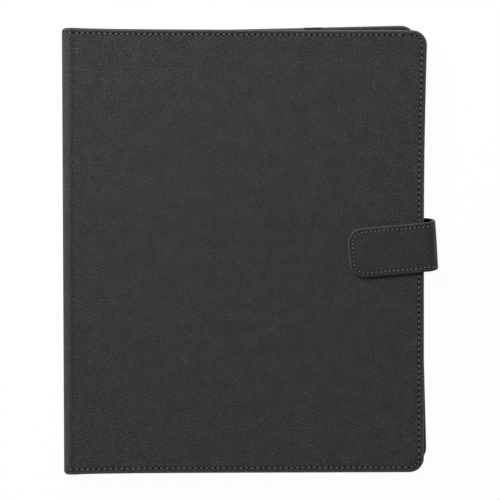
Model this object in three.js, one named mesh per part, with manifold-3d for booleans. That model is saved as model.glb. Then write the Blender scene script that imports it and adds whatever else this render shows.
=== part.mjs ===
// A music folder, closed and lying on its back cover: two stiff leatherette covers, a rounded
// spine and a strap that comes out of the back cover's seam and lies on the front cover.
// Millimetres, +Z up. The folder's top edge is towards +Y and its spine towards -X.
// The covers lie a little askew, as a soft folder closes: the back one is turned by coverSkew.

import * as THREE from 'three';
import { mergeVertices } from 'three/addons/utils/BufferGeometryUtils.js';
import Module from 'manifold-3d';

const wasm = await Module();
wasm.setup();

// Covers
const coverHeight = 315;
const coverWidth = 249; // from the groove at the spine to the fore-edge
const closedThickness = 20; // over both covers
const cornerRadius = 12.5;
const leastRadius = 1; // of an outline that is drawn in past the corner's centre
const edgeRoll = 1.6; // rounding of the turned edge
const coverSkew = THREE.MathUtils.degToRad(1.5);
const backShift = 0.2; // the back groove lies this much nearer to the spine, at mid-height
const backDrop = 1.1; // and the back cover this much lower
const foreEdgeFlare = 1.6; // the front cover's fore-edge spreads at its top corner
const flareLength = 110;

// Sheets and boards
const fitGap = 0.3;
const skinThickness = 0.9;
const boardThickness = 2;
const hemThickness = 0.6;
const hemWidth = 14;
const liningThickness = 0.5;
const liningInset = 1.8;
const pocketThickness = 0.7;

// Groove between a cover and the spine
const grooveWidth = 3.4;
const grooveDepth = 0.7;
const grooveGap = 0.8; // open slit that lets the rigid pieces turn past each other

// Spine
const spineDepth = 8.2; // from the spine's outermost line to the front groove
const spineLean = THREE.MathUtils.degToRad(0.3);
const spineEndRadius = 1.5;
const spineSquareness = 2.5; // 2 is an ellipse, more is squarer
const spineBoardThickness = 1.2;
const spineBoardSweep = THREE.MathUtils.degToRad(42);
const spineLiningSweep = THREE.MathUtils.degToRad(52);
const spineSegments = 28;
const spineStations = 6;

// Pockets
const pocketMargin = 5;
const pocketSpineMargin = 16;
const pocketTongueGap = 1; // from the pocket to the strap's sewn tongue
const backPocketHeight = 172;
const frontPocketHeight = 205;
const pocketSlant = 38; // how much higher the front pocket's mouth is at the spine
const notchRadius = 14;

// Elastic band that holds the sheets
const bandWidth = 12.6;
const bandThickness = 0.9;
const bandPlace = 175; // from the back groove
const bandRamp = 10;
const bandTuck = 1.2; // how far it reaches down outside the edge

// Closure strap
const strapWidth = 35;
const strapLength = 54; // from the fore-edge to the free end
const strapCornerRadius = 8.2;
const strapRoll = 1.1;
const strapSkin = 0.8;
const strapCoreThickness = 1;
const strapBackingThickness = 0.6;
const strapBackingInset = 2;
const strapTwist = THREE.MathUtils.degToRad(3.6); // the arm against the sewn end
const strapDrift = 3.5; // the arm lies this much lower than the sewn end
const strapBendReach = 7.2; // how far the bend's middle line stands out
const strapBendThickness = 2.3;
const strapBendClearance = 1.6; // from the back cover's fore-edge to the start of the bend
const strapTongue = 12; // sewn on the hem, beside the lining
const strapTongueThickness = 0.9;
const strapBendSegments = 18;

// Magnets of the closure
const strapMagnetRadius = 7.5;
const coverMagnetRadius = 9;
const magnetFromEnd = 15; // from the strap's free end

const cornerSegments = 9;
const rollSegments = 3;
const discSegments = 40;

// Heights inside one cover, from its outer face
const boardLow = skinThickness + fitGap;
const boardHigh = boardLow + boardThickness;
const hemLow = boardHigh + fitGap;
const hemHigh = hemLow + hemThickness;
const liningLow = hemHigh + fitGap;
const liningHigh = liningLow + liningThickness;
const pocketLow = liningHigh + fitGap;
const pocketHigh = pocketLow + pocketThickness;

// Heights inside the strap, from its inner face
const coreLow = strapBackingThickness + fitGap;
const coreHigh = coreLow + strapCoreThickness;
const strapThickness = coreHigh + fitGap + strapSkin;

const leatherette = new THREE.MeshStandardMaterial({ color: 0x3a3a3b, roughness: 0.62 });
const liningCloth = new THREE.MeshStandardMaterial({ color: 0x202022, roughness: 0.9 });
const greyBoard = new THREE.MeshStandardMaterial({ color: 0x9a9284, roughness: 0.9 });
const blackElastic = new THREE.MeshStandardMaterial({ color: 0x101011, roughness: 0.85 });
const magnetSteel = new THREE.MeshStandardMaterial({ color: 0x9b9ca0, roughness: 0.35, metalness: 0.9 });

function toSolid(geometry) {
  const plain = geometry.clone();
  plain.deleteAttribute('normal');
  plain.deleteAttribute('uv');
  const merged = mergeVertices(plain, 1e-4);
  const vertProperties = new Float32Array(merged.attributes.position.array);
  const triVerts = new Uint32Array(merged.index.array);
  return new wasm.Manifold(new wasm.Mesh({ numProp: 3, vertProperties, triVerts }));
}

function toGeometry(solid) {
  const mesh = solid.getMesh();
  const geometry = new THREE.BufferGeometry();
  geometry.setAttribute('position', new THREE.BufferAttribute(mesh.vertProperties, 3));
  geometry.setIndex(new THREE.BufferAttribute(mesh.triVerts, 1));
  const flatShaded = geometry.toNonIndexed();
  flatShaded.computeVertexNormals();
  return flatShaded;
}

function named(name, geometry, material) {
  const mesh = new THREE.Mesh(geometry, material);
  mesh.name = name;
  return mesh;
}

// A flat sheet between two heights, its rim rounded by roll on both faces
function sheet(shape, low, high, roll = 0) {
  const geometry = new THREE.ExtrudeGeometry(shape, {
    depth: high - low - 2 * roll,
    curveSegments: cornerSegments,
    bevelEnabled: roll > 0,
    bevelThickness: roll,
    bevelSize: roll,
    bevelOffset: -roll,
    bevelSegments: rollSegments,
  });
  return geometry.translate(0, 0, low + roll);
}

function block(lowX, highX, lowY, highY, lowZ, highZ) {
  const geometry = new THREE.BoxGeometry(highX - lowX, highY - lowY, highZ - lowZ);
  return geometry.translate((lowX + highX) / 2, (lowY + highY) / 2, (lowZ + highZ) / 2);
}

// Closes a solid over rings of points, all listed the same way round. flatten gives a ring's
// point in the plane of the two end caps.
function loft(rings, flatten) {
  const count = rings[0].length;
  const positions = rings.flat().flatMap((point) => [point.x, point.y, point.z]);
  const index = [];
  for (let ring = 0; ring < rings.length - 1; ring += 1) {
    for (let place = 0; place < count; place += 1) {
      const next = (place + 1) % count;
      const here = ring * count;
      const there = here + count;
      index.push(here + place, here + next, there + next);
      index.push(here + place, there + next, there + place);
    }
  }
  const lastRing = (rings.length - 1) * count;
  for (const [a, b, c] of capAlong(rings[0], flatten)) {
    index.push(a, c, b);
  }
  for (const [a, b, c] of capAlong(rings.at(-1), flatten)) {
    index.push(a + lastRing, b + lastRing, c + lastRing);
  }
  const geometry = new THREE.BufferGeometry();
  geometry.setAttribute('position', new THREE.Float32BufferAttribute(positions, 3));
  geometry.setIndex(index);
  return faceOutwards(geometry);
}

// Triangles that fill a ring, each running the same way round as the ring
function capAlong(ring, flatten) {
  const outline = ring.map(flatten);
  const clockwise = THREE.ShapeUtils.isClockWise(outline);
  return THREE.ShapeUtils.triangulateShape(outline, []).map(([a, b, c]) => {
    const runsWith = THREE.ShapeUtils.isClockWise([outline[a], outline[b], outline[c]]) === clockwise;
    return runsWith ? [a, b, c] : [a, c, b];
  });
}

function faceOutwards(geometry) {
  const corners = geometry.index.array;
  const points = geometry.attributes.position;
  const [a, b, c] = [new THREE.Vector3(), new THREE.Vector3(), new THREE.Vector3()];
  let volume = 0;
  for (let place = 0; place < corners.length; place += 3) {
    a.fromBufferAttribute(points, corners[place]);
    b.fromBufferAttribute(points, corners[place + 1]);
    c.fromBufferAttribute(points, corners[place + 2]);
    volume += a.dot(b.cross(c));
  }
  if (volume < 0) {
    for (let place = 0; place < corners.length; place += 3) {
      const kept = corners[place + 1];
      corners[place + 1] = corners[place + 2];
      corners[place + 2] = kept;
    }
  }
  const flatShaded = geometry.toNonIndexed();
  flatShaded.computeVertexNormals();
  return flatShaded;
}

// Shifts a flat curve sideways, to the left of its run
function offsetCurve(points, distance) {
  return points.map((point, place) => {
    const before = points[Math.max(place - 1, 0)];
    const after = points[Math.min(place + 1, points.length - 1)];
    const run = new THREE.Vector2().subVectors(after, before).normalize();
    return new THREE.Vector2(point.x - run.y * distance, point.y + run.x * distance);
  });
}

function smooth(share) {
  const held = THREE.MathUtils.clamp(share, 0, 1);
  return held * held * (3 - 2 * held);
}

// Cover outline from the groove line, x = 0, to the fore-edge, drawn in by inset. flareEnd is
// the end of the fore-edge that spreads: 1 for +Y, -1 for -Y, 0 for none.
function coverOutline(inset, spineSide, flareEnd = 0) {
  const half = coverHeight / 2 - inset;
  const right = coverWidth - inset;
  const radius = Math.max(cornerRadius - inset, leastRadius);
  const shape = new THREE.Shape();
  for (const end of [-1, 1]) {
    const corner = right + (end === flareEnd ? foreEdgeFlare : 0);
    const bendStart = coverHeight / 2 - flareLength;
    const bendMiddle = coverHeight / 2 - flareLength / 2;
    if (end < 0) {
      shape.moveTo(spineSide, -half);
      shape.lineTo(corner - radius, -half);
      shape.absarc(corner - radius, radius - half, radius, -Math.PI / 2, 0);
      if (flareEnd < 0) {
        shape.quadraticCurveTo(right, -bendMiddle, right, -bendStart);
      }
    } else {
      if (flareEnd > 0) {
        shape.lineTo(right, bendStart);
        shape.quadraticCurveTo(right, bendMiddle, corner, half - radius);
      } else {
        shape.lineTo(corner, half - radius);
      }
      shape.absarc(corner - radius, half - radius, radius, 0, Math.PI / 2);
      shape.lineTo(spineSide, half);
    }
  }
  shape.closePath();
  return shape;
}

// Leatherette sheet with its hem turned in over three edges, as a shallow tray for the board.
// At the spine it dips into the groove.
function coverSkin(flareEnd) {
  const beyond = -20;
  const reach = coverHeight;
  const tray = toSolid(sheet(coverOutline(0, beyond, flareEnd), 0, hemHigh, edgeRoll));
  const boardRoom = toSolid(sheet(coverOutline(skinThickness, grooveWidth, flareEnd), skinThickness, hemLow));
  const hemWindow = toSolid(sheet(coverOutline(hemWidth, beyond, flareEnd), hemLow - 0.1, hemHigh + 1));
  const spineCut = toSolid(block(2 * beyond, grooveGap / 2, -reach, reach, -1, hemHigh + 1));
  const grooveTop = skinThickness + grooveDepth;
  const grooveRoom = toSolid(block(beyond, grooveWidth + 0.1, -reach, reach, grooveTop, hemHigh + 1));
  const groove = [-reach, reach].map((y) => [
    new THREE.Vector3(-grooveWidth, y, 2 * grooveDepth),
    new THREE.Vector3(-grooveWidth, y, -grooveDepth),
    new THREE.Vector3(2 * grooveWidth, y, -grooveDepth),
  ]);
  const grooveCut = toSolid(loft(groove, (point) => new THREE.Vector2(point.x, point.z)));
  const cuts = [boardRoom, hemWindow, spineCut, grooveRoom, grooveCut];
  return toGeometry(cuts.reduce((solid, cut) => solid.subtract(cut), tray));
}

// Stiff board inside the skin, with a hole for each magnet
function coverBoard(flareEnd, magnetPlaces = []) {
  const shape = coverOutline(skinThickness + fitGap, grooveWidth + fitGap, flareEnd);
  for (const place of magnetPlaces) {
    const hole = new THREE.Path();
    hole.absarc(place.x, place.y, coverMagnetRadius + fitGap, 0, 2 * Math.PI, true);
    shape.holes.push(hole);
  }
  return sheet(shape, boardLow, boardHigh);
}

// Lining over the hem, padded out to the board inside the hem's frame. notch is the room of
// the strap's sewn tongue.
function coverLining(flareEnd, notch) {
  const spineSide = grooveWidth + fitGap;
  const padInset = hemWidth + fitGap;
  const face = toSolid(sheet(coverOutline(liningInset, spineSide, flareEnd), liningLow, liningHigh));
  const pad = toSolid(sheet(coverOutline(padInset, spineSide, flareEnd), boardHigh + fitGap, liningHigh - 0.1));
  const joined = face.add(pad);
  return toGeometry(notch ? joined.subtract(toSolid(notch)) : joined);
}

// Sheet pocket sewn to the lining along three edges. up is the side of its mouth, along Y, and
// the mouth rises by slant towards the spine.
function pocket(height, slant, up) {
  const low = -up * (coverHeight / 2 - pocketMargin);
  const mouth = low + up * height;
  const right = coverWidth - strapTongue - pocketTongueGap;
  const middle = (pocketSpineMargin + right) / 2;
  const slope = slant / (right - pocketSpineMargin);
  const mouthAt = (x) => mouth + up * slope * (right - x);
  const shape = new THREE.Shape();
  shape.moveTo(pocketSpineMargin, low);
  shape.lineTo(right - cornerRadius, low);
  shape.quadraticCurveTo(right, low, right, low + up * cornerRadius);
  shape.lineTo(right, mouth);
  shape.lineTo(middle + notchRadius, mouthAt(middle + notchRadius));
  const notchSteps = 14;
  for (let step = 1; step < notchSteps; step += 1) {
    const angle = (Math.PI * step) / notchSteps;
    const x = middle + notchRadius * Math.cos(angle);
    shape.lineTo(x, mouthAt(x) - up * notchRadius * Math.sin(angle));
  }
  shape.lineTo(middle - notchRadius, mouthAt(middle - notchRadius));
  shape.lineTo(pocketSpineMargin, mouthAt(pocketSpineMargin));
  shape.closePath();
  return sheet(shape, pocketLow, pocketHigh);
}

// Elastic band along Y over the pocket, led down to the lining and over both edges
function sheetBand() {
  const edge = coverHeight / 2;
  const overPocket = pocketHigh + fitGap + bandThickness / 2;
  const overLining = liningHigh + fitGap + bandThickness / 2;
  const turnRadius = edgeRoll + bandThickness / 2;
  const turnCentre = edge + fitGap + bandThickness / 2 - turnRadius;
  const half = [];
  half.push(new THREE.Vector2(turnCentre + turnRadius, overLining - turnRadius - bandTuck));
  const turnSteps = 6;
  for (let step = 0; step <= turnSteps; step += 1) {
    const angle = (Math.PI / 2) * (step / turnSteps);
    const y = turnCentre + turnRadius * Math.cos(angle);
    half.push(new THREE.Vector2(y, overLining - turnRadius + turnRadius * Math.sin(angle)));
  }
  const rampSteps = 5;
  for (let step = 1; step <= rampSteps; step += 1) {
    const share = step / rampSteps;
    const rise = (overPocket - overLining) * smooth(share);
    half.push(new THREE.Vector2(turnCentre - pocketMargin / 4 - bandRamp * share * 0.2, overLining + rise));
  }
  const otherHalf = half.map((point) => new THREE.Vector2(-point.x, point.y)).reverse();
  const middleLine = [...half, ...otherHalf];
  const outer = offsetCurve(middleLine, bandThickness / 2);
  const inner = offsetCurve(middleLine, -bandThickness / 2).reverse();
  const rings = [-bandWidth / 2, bandWidth / 2].map((side) => (
    [...outer, ...inner].map((point) => new THREE.Vector3(bandPlace + side, point.x, point.y))
  ));
  return loft(rings, (point) => new THREE.Vector2(point.y, point.z));
}

// The groove lines and the spine's outermost line, as X at a height Y
const frontGrooveAt = () => spineDepth;
const backGrooveAt = (y) => spineDepth - backShift - Math.tan(coverSkew) * (y + backDrop);
const spineFaceAt = (y) => {
  const pastRound = Math.max(0, Math.abs(y) - (coverHeight / 2 - spineEndRadius));
  const round = spineEndRadius - Math.sqrt(spineEndRadius ** 2 - Math.min(pastRound, spineEndRadius) ** 2);
  return round - Math.tan(spineLean) * y;
};

// Outer line of the spine's section at a height Y, from the back groove round to the front one.
// Each half is a quarter of a superellipse that dips into its groove; sweep is how far round
// it goes from the middle, in radians up to half pi.
function spineLine(y, sweep) {
  const middle = closedThickness / 2;
  const face = spineFaceAt(y);
  const power = 2 / spineSquareness;
  const points = [];
  for (let step = 0; step <= spineSegments; step += 1) {
    const angle = sweep * (2 * (step / spineSegments) - 1);
    const side = angle < 0 ? -1 : 1;
    const groove = angle < 0 ? backGrooveAt(y) : frontGrooveAt();
    const depth = groove - grooveGap / 2 - face;
    const inward = 1 - Math.max(Math.cos(angle), 0) ** power;
    const dipShare = Math.min(grooveWidth / depth, 1);
    const dip = grooveDepth * smooth((inward - 1 + dipShare) / dipShare);
    const outward = Math.abs(Math.sin(angle)) ** power;
    points.push(new THREE.Vector2(face + depth * inward, middle + side * (middle * outward - dip)));
  }
  return points;
}

// One layer of the spine between two depths under its outer face, curved along the spine line
function spineLayer(low, high, sweep, endInset) {
  const reach = coverHeight / 2 - endInset;
  const heights = [];
  const roundSteps = 3;
  for (let step = 0; step <= roundSteps; step += 1) {
    const fromEnd = spineEndRadius * (1 - Math.cos((Math.PI / 2) * (step / roundSteps)));
    heights.push(-reach + fromEnd);
  }
  const straight = reach - spineEndRadius;
  for (let step = 1; step < spineStations; step += 1) {
    heights.push(straight * (2 * (step / spineStations) - 1));
  }
  for (let step = 0; step <= roundSteps; step += 1) {
    const fromEnd = spineEndRadius * (1 - Math.cos((Math.PI / 2) * (1 - step / roundSteps)));
    heights.push(reach - fromEnd);
  }
  const rings = heights.map((y) => {
    const line = spineLine(y, sweep);
    const outer = offsetCurve(line, -low);
    const inner = offsetCurve(line, -high).reverse();
    return [...outer, ...inner].map((point) => new THREE.Vector3(point.x, y, point.y));
  });
  return loft(rings, (point) => new THREE.Vector2(point.x, point.z));
}

// Strap heights over the back cover's outer face
const tongueLow = liningLow;
const tongueMiddle = tongueLow + strapTongueThickness / 2;
const armLow = closedThickness + fitGap;
const armMiddle = armLow + strapThickness / 2;
const strapBendStart = coverWidth + strapBendClearance;

// Sewn tongue and half-turn of the strap, in the back cover's frame. The ribbon's section is
// carried round half an ellipse, and turned and shifted on the way to the arm's place.
function strapBend() {
  const reach = strapWidth / 2;
  const sections = [];
  const addSection = (x, z, rise, thickness, share) => {
    sections.push({ x, z, rise, thickness, share });
  };
  addSection(coverWidth - strapTongue, tongueMiddle, Math.PI / 2, strapTongueThickness, 0);
  addSection(coverWidth, tongueMiddle, Math.PI / 2, strapTongueThickness, 0);
  const middle = (tongueMiddle + armMiddle) / 2;
  const bendHeight = (armMiddle - tongueMiddle) / 2;
  for (let step = 0; step <= strapBendSegments; step += 1) {
    const share = step / strapBendSegments;
    const angle = Math.PI * (share - 0.5);
    const x = strapBendStart + strapBendReach * Math.cos(angle);
    const z = middle + bendHeight * Math.sin(angle);
    const swell = smooth(share * 4);
    const arrive = smooth(share * 4 - 3);
    const thin = THREE.MathUtils.lerp(strapTongueThickness, strapBendThickness, swell);
    const thickness = THREE.MathUtils.lerp(thin, strapThickness, arrive);
    const slope = Math.atan2(bendHeight * Math.cos(angle), -strapBendReach * Math.sin(angle));
    addSection(x, z, slope + Math.PI / 2, thickness, share);
  }
  const upright = new THREE.Vector3(0, 0, 1);
  const rings = sections.map(({ x, z, rise, thickness, share }) => {
    const corners = [[-1, -1], [-1, 1], [1, 1], [1, -1]];
    return corners.map(([side, face]) => {
      const point = new THREE.Vector3(
        x - strapBendStart + (face * thickness * Math.cos(rise)) / 2,
        side * reach,
        z + (face * thickness * Math.sin(rise)) / 2,
      );
      point.applyAxisAngle(upright, strapTwist * smooth(share));
      point.x += strapBendStart;
      point.y -= strapDrift * smooth(share);
      return point;
    });
  });
  return loft(rings, (point) => new THREE.Vector2(point.y, point.z));
}

// Arm outline from its root, x = 0, to the rounded free end towards -X, drawn in by inset
function armOutline(inset, root) {
  const reach = strapWidth / 2 - inset;
  const end = -(strapLength + strapBendClearance - inset);
  const radius = strapCornerRadius - inset;
  const shape = new THREE.Shape();
  shape.moveTo(root, -reach);
  shape.lineTo(root, reach);
  shape.lineTo(end + radius, reach);
  shape.absarc(end + radius, reach - radius, radius, Math.PI / 2, Math.PI);
  shape.absarc(end + radius, radius - reach, radius, Math.PI, 1.5 * Math.PI);
  shape.closePath();
  return shape;
}

// Padded face of the strap, its rim turned down round the core and the backing
function strapFace() {
  const beyond = 10;
  const body = toSolid(sheet(armOutline(0, beyond), 0, strapThickness, strapRoll));
  const room = toSolid(sheet(armOutline(strapSkin, 2 * beyond), -1, strapThickness - strapSkin));
  const rootCut = toSolid(block(-fitGap, 2 * beyond, -strapWidth, strapWidth, -1, strapThickness + 1));
  return toGeometry(body.subtract(room).subtract(rootCut));
}

function strapCore(magnetX) {
  const shape = armOutline(strapSkin + fitGap, -2 * fitGap);
  const hole = new THREE.Path();
  hole.absarc(magnetX, 0, strapMagnetRadius + fitGap, 0, 2 * Math.PI, true);
  shape.holes.push(hole);
  return sheet(shape, coreLow, coreHigh);
}

// A magnet, lying flat between two heights
function magnetDisc(radius, low, high) {
  const disc = new THREE.CylinderGeometry(radius, radius, high - low, discSegments);
  return disc.rotateX(Math.PI / 2).translate(0, 0, (low + high) / 2);
}

const folder = new THREE.Group();

const backCover = new THREE.Group();
backCover.position.set(spineDepth - backShift, -backDrop, 0);
backCover.rotation.z = coverSkew;
folder.add(backCover);

const frontCover = new THREE.Group();
frontCover.position.set(spineDepth, 0, closedThickness);
frontCover.rotation.x = Math.PI;
folder.add(frontCover);

const strapArm = new THREE.Group();
strapArm.position.set(strapBendStart, -strapDrift, armLow);
strapArm.rotation.z = strapTwist;
backCover.add(strapArm);

const magnetX = magnetFromEnd - strapLength - strapBendClearance;
folder.updateMatrixWorld(true);
const magnetPlace = frontCover.worldToLocal(strapArm.localToWorld(new THREE.Vector3(magnetX, 0, 0)));

const tongueRoom = block(
  coverWidth - strapTongue - fitGap, coverWidth + 1,
  -strapWidth / 2 - fitGap, strapWidth / 2 + fitGap,
  hemHigh, liningHigh + 1,
);
const noFlare = 0;
const flareAtTop = -1; // the front cover is turned over, so its top is towards -Y of its frame
backCover.add(
  named('back_skin', coverSkin(noFlare), leatherette),
  named('back_board', coverBoard(noFlare), greyBoard),
  named('back_lining', coverLining(noFlare, tongueRoom), liningCloth),
  named('back_pocket', pocket(backPocketHeight, 0, 1), liningCloth),
  named('sheet_band', sheetBand(), blackElastic),
  named('strap_loop', strapBend(), leatherette),
);

const coverMagnet = named('cover_magnet', magnetDisc(coverMagnetRadius, boardLow, boardHigh), magnetSteel);
coverMagnet.position.set(magnetPlace.x, magnetPlace.y, 0);
frontCover.add(
  named('front_skin', coverSkin(flareAtTop), leatherette),
  named('front_board', coverBoard(flareAtTop, [magnetPlace]), greyBoard),
  named('front_lining', coverLining(flareAtTop), liningCloth),
  named('front_pocket', pocket(frontPocketHeight, pocketSlant, -1), liningCloth),
  coverMagnet,
);

const cardLow = skinThickness + fitGap;
const spineLiningLow = cardLow + spineBoardThickness + fitGap;
const spineLiningHigh = spineLiningLow + liningThickness;
folder.add(
  named('spine_skin', spineLayer(0, skinThickness, Math.PI / 2, 0), leatherette),
  named('spine_board', spineLayer(cardLow, cardLow + spineBoardThickness, spineBoardSweep, 3), greyBoard),
  named('spine_lining', spineLayer(spineLiningLow, spineLiningHigh, spineLiningSweep, 1.5), liningCloth),
);

const strapMagnet = named('strap_magnet', magnetDisc(strapMagnetRadius, coreLow, coreHigh), magnetSteel);
strapMagnet.position.x = magnetX;
const backingOutline = armOutline(strapBackingInset, -2 * fitGap);
strapArm.add(
  named('strap_face', strapFace(), leatherette),
  named('strap_core', strapCore(magnetX), greyBoard),
  named('strap_backing', sheet(backingOutline, 0, strapBackingThickness), leatherette),
  strapMagnet,
);

// The origin is under the middle of the closed folder, on the surface that it lies on
folder.updateMatrixWorld(true);
const bounds = new THREE.Box3().setFromObject(folder, true);
const centre = bounds.getCenter(new THREE.Vector3());
folder.position.set(-centre.x, -centre.y, -bounds.min.z);

const part = new THREE.Group();
part.add(folder);

export default part;
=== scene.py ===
import math

import bmesh
import bpy
import numpy as np
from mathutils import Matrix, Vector


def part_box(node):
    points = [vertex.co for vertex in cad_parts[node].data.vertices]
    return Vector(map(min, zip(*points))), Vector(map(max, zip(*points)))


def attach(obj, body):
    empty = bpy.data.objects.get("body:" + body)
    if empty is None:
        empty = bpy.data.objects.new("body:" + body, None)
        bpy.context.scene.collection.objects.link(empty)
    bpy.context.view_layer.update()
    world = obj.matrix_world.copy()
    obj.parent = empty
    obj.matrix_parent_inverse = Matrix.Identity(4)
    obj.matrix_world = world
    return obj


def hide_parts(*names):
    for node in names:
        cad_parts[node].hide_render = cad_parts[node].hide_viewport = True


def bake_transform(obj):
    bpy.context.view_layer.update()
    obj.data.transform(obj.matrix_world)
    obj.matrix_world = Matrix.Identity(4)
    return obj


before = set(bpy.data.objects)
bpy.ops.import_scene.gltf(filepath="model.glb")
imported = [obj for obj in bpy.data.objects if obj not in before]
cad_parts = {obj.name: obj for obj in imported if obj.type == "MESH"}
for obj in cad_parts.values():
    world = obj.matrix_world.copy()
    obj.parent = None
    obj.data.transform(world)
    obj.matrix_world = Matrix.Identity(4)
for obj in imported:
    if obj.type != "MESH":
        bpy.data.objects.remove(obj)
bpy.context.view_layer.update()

mm = 0.001
print("frame loaded:", len(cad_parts), "nodes")

# Where the CAD model lies: the front groove's line, mid-height and the two outer faces
frontLow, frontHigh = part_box("front_skin")
midHeight = (frontLow.y + frontHigh.y) / 2
closedThickness = frontHigh.z

cover = {
    "height": 315 * mm,
    "width": 249 * mm,  # from the groove to the fore-edge
    "cornerRadius": 10.5 * mm,
    "deep": 4.1 * mm,  # board, skin and hem
    "skin": 0.9 * mm,
    "rim": 1.9 * mm,  # how far the half-round rim reaches in over the faces
    "hem": 14 * mm,  # width of the turned-in edge
    "hemThickness": 0.6 * mm,
    "spineShare": 0.42,  # of the depth, which is left over the groove and the spine
    "thickenFrom": 1.6 * mm,  # from the groove, where the board starts
    "thickenOver": 3 * mm,
    "grooveGap": 0.4 * mm,  # the CAD skins stop this short of the groove line
    "grooveDepth": 0.8 * mm,
    "grooveWidth": 2.8 * mm,  # on the cover's side
    "rollGrooveWidth": 2.0 * mm,
    "skew": math.radians(1.5),  # the back cover's turn against the front one
    "backShift": 0.2 * mm,
    "backDrop": 1.1 * mm,
    "flare": 2.5 * mm,  # the front fore-edge's spread at the top corner
    "flareLength": 150 * mm,
    "spineSpread": 0.0056,  # the leather's growth in height at the spine, as a share
    "spreadLength": 26 * mm,
    "innerInset": 18 * mm,  # where the rim's rings end and the flat grid starts
    "step": 2 * mm,  # mesh spacing, half a stitch
    "faceRings": (14, 11, 8.5, 7.0),  # insets of the mesh's rings from the edge, in mm
    "seamRings": (2.2, 1.5, 1.0, 0.65, 0.3, 0, -0.3, -0.65, -1.0, -1.4),  # from the stitch line
    "rimRings": 13,
    "hemRings": (2.5, 3.1, 3.8, 6, 10),
    "hemRound": 0.2 * mm,
    "insideFlat": 6 * mm,  # the hidden sides of the hem and the face are flat from here on
    "insideTurn": 1.5 * mm,
    "insideRim": 1.0 * mm,
    "insideStep": 0.1 * mm,
}
spine = {
    "depth": 8.2 * mm,
    "squareness": 2.5,
    "lean": math.radians(0.3),
    "columns": 26,
    "endRadius": 0.5 * mm,
    "turnFrom": 3.2 * mm,  # from its outer face, where the leather starts to turn with a cover
    "turnTo": 9 * mm,
    "turnRise": 4 * mm,  # from mid-thickness, where it has turned all the way
}
stitching = {
    "inset": 3.7 * mm,
    "pitch": 4 * mm,
    "threadRadius": 0.30 * mm,
    "threadShare": 0.62,  # of the pitch that shows between two holes
    "start": -4.1 * mm,  # on the spine's roll
    "startOver": 2 * mm,
    "furrow": 0.42 * mm,
    "furrowWidth": 0.85 * mm,
    "pull": 0.32,  # half of the furrow's depth that is lost between two holes, as a share
    "sunk": 0.9,  # the thread's depth, as a share of the furrow's
}

grooveX = frontLow.x - cover["grooveGap"]
backOrigin = np.array([grooveX - cover["backShift"], midHeight - cover["backDrop"]])
spineFaceX = grooveX - spine["depth"]


# Shared number helpers
def smooth(share):  # 3t^2 - 2t^3, held between 0 and 1
    held = np.clip(share, 0, 1)
    return held * held * (3 - 2 * held)


def bell(value, centre, width):  # a hump that is 1 at its centre
    return np.exp(-(((value - centre) / width) ** 2))


# The closed folder's two covers with half of the spine each, as one mapping: along is the
# distance from the groove, up the height on the cover and depth the distance under the outer
# face. Below 0, along covers the spine's roll, down to -rollLength in the middle of the spine.
rollLength = 14 * mm


def rollSection(side, angle, up):
    # Quarter superellipse: x moves in by 1 - cos^(2/n), z out by sin^(2/n) from the mid-line
    power = 2 / spine["squareness"]
    inward = 1 - np.abs(np.cos(angle)) ** power
    outward = np.abs(np.sin(angle)) ** power
    pastEnd = np.clip(np.abs(up) - (cover["height"] / 2 - spine["endRadius"]), 0, spine["endRadius"])
    endRound = spine["endRadius"] - np.sqrt(spine["endRadius"] ** 2 - pastEnd**2)
    faceX = spineFaceX + endRound - math.tan(spine["lean"]) * up
    if side == "front":
        edgeX = grooveX + 0 * up
        edgeY = midHeight + up
    else:
        edgeX = backOrigin[0] - math.sin(cover["skew"]) * up
        edgeY = backOrigin[1] + math.cos(cover["skew"]) * up
    roll = edgeX - faceX
    dipShare = np.minimum(cover["rollGrooveWidth"] / roll, 1)
    dip = cover["grooveDepth"] * smooth((inward - 1 + dipShare) / dipShare)
    half = closedThickness / 2
    x = faceX + roll * inward
    y = midHeight + up + (edgeY - midHeight - up) * inward
    rise = half * outward - dip
    return x, y, half + (rise if side == "front" else -rise)


def coverPoint(side, along, up, depth):
    sign = -1 if side == "front" else 1  # which way is inwards in z
    up = up * (1 + cover["spineSpread"] * np.exp(-np.maximum(along, 0) / cover["spreadLength"]))
    angle = np.clip(1 + along / rollLength, 0, 1) * math.pi / 2
    x, y, z = rollSection(side, angle, up)
    nudge = 0.02
    held = np.clip(angle, nudge, math.pi / 2 - 2 * nudge)
    x0, _, z0 = rollSection(side, held - nudge, up)
    x1, _, z1 = rollSection(side, held + nudge, up)
    run = np.hypot(x1 - x0, z1 - z0)
    inX = (z1 - z0) / run * -sign
    inZ = -(x1 - x0) / run * -sign
    flat = along > 0
    outX = x + inX * depth
    outZ = z + inZ * depth
    groove = cover["grooveDepth"] * (1 - smooth(along / cover["grooveWidth"]))
    flatZ = (closedThickness if side == "front" else 0) + sign * (depth + groove)
    if side == "front":
        flatX = grooveX + along
        flatY = midHeight + up
    else:
        turnCos = math.cos(cover["skew"])
        turnSin = math.sin(cover["skew"])
        flatX = backOrigin[0] + turnCos * along - turnSin * up
        flatY = backOrigin[1] + turnSin * along + turnCos * up
    return np.stack([
        np.where(flat, flatX, outX),
        np.where(flat, flatY, y),
        np.where(flat, flatZ, outZ),
    ], axis=-1)


# Mesh building
def makeObject(name, points, faces, attributes=None):  # attributes: a number for each point
    mesh = bpy.data.meshes.new(name)
    mesh.from_pydata(points.tolist(), [], faces)
    for label, values in (attributes or {}).items():
        layer = mesh.attributes.new(label, "FLOAT", "POINT")
        layer.data.foreach_set("value", np.asarray(values, np.float32))
    mesh.update()
    piece = bpy.data.objects.new(name, mesh)
    bpy.context.scene.collection.objects.link(piece)
    return piece


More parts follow.
